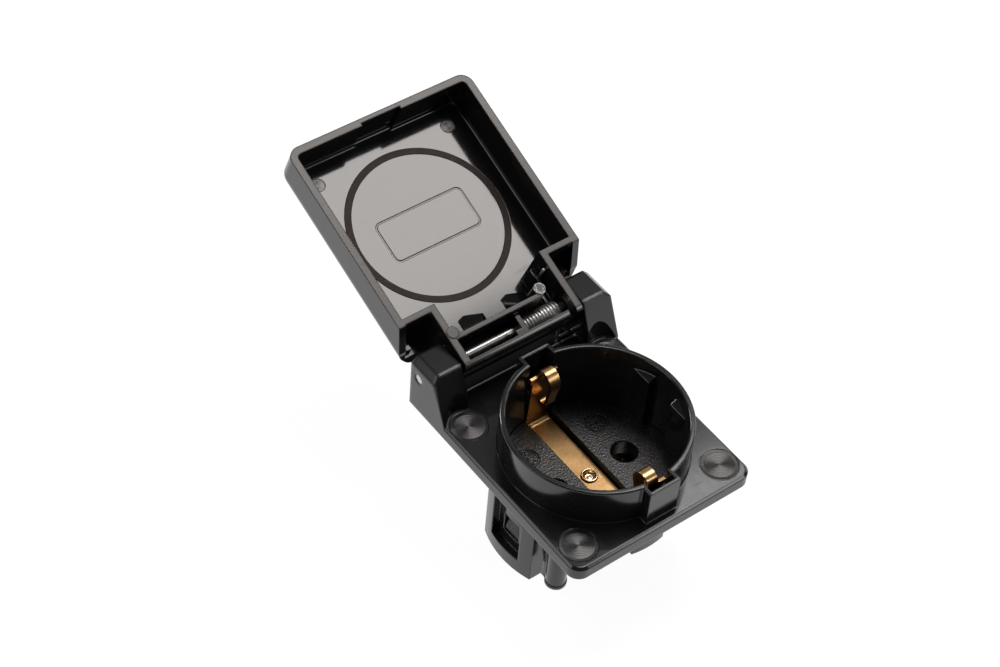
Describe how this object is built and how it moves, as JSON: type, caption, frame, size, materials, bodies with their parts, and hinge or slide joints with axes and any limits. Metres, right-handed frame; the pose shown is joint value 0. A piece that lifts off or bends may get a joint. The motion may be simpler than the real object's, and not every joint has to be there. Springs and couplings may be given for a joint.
{
  "type": "flush wall socket",
  "caption": "Flush wall socket with a round earthed plug recess in a square flange, a spring hinged protective lid standing open, rear snap legs and a contact insert with screw terminals.",
  "frame": {"origin": "axis of the round plug recess, in the plane of the flange's back face that rests on the panel", "axes": "+Z out of the panel along the plug recess, +Y across the flange towards the hinge, +X along the hinge pin"},
  "size_m": [0.0488, 0.1099, 0.0638],
  "materials": {
    "black_plastic": "satin moulded black thermoplastic",
    "insert_plastic": "finely grained black thermoset",
    "soft_ring": "dull soft elastomer",
    "pin_steel": "drawn steel",
    "spring_wire": "bright drawn spring wire",
    "zinc_steel": "zinc plated steel",
    "brass": "stamped sheet brass"
  },
  "bodies": {
    "base": {"flange_frame": "black_plastic", "hinge_pin": "pin_steel", "lid_spring": "spring_wire", "contact_base": "insert_plastic", "rear_cover": "insert_plastic", "earth_strip": "brass", "earth_rivet": "brass", "earth_terminal": "brass", "line_contact": "brass", "neutral_contact": "brass", "line_band": "pin_steel", "neutral_band": "pin_steel", "line_clamp": "zinc_steel", "neutral_clamp": "zinc_steel", "earth_clamp": "zinc_steel", "line_screw": "zinc_steel", "neutral_screw": "zinc_steel", "earth_screw": "zinc_steel", "cover_screw_left": "zinc_steel", "cover_screw_right": "zinc_steel"},
    "lid": {"lid": "black_plastic", "lid_seal": "soft_ring"}
  },
  "joints": [
    {"name": "lid_hinge", "type": "hinge", "parent": "base", "child": "lid", "pos_m": [0, 0.0313, 0.0099], "axis": [1, 0, 0], "range_deg": [0, 159], "deforming": ["lid_spring"]}
  ]
}
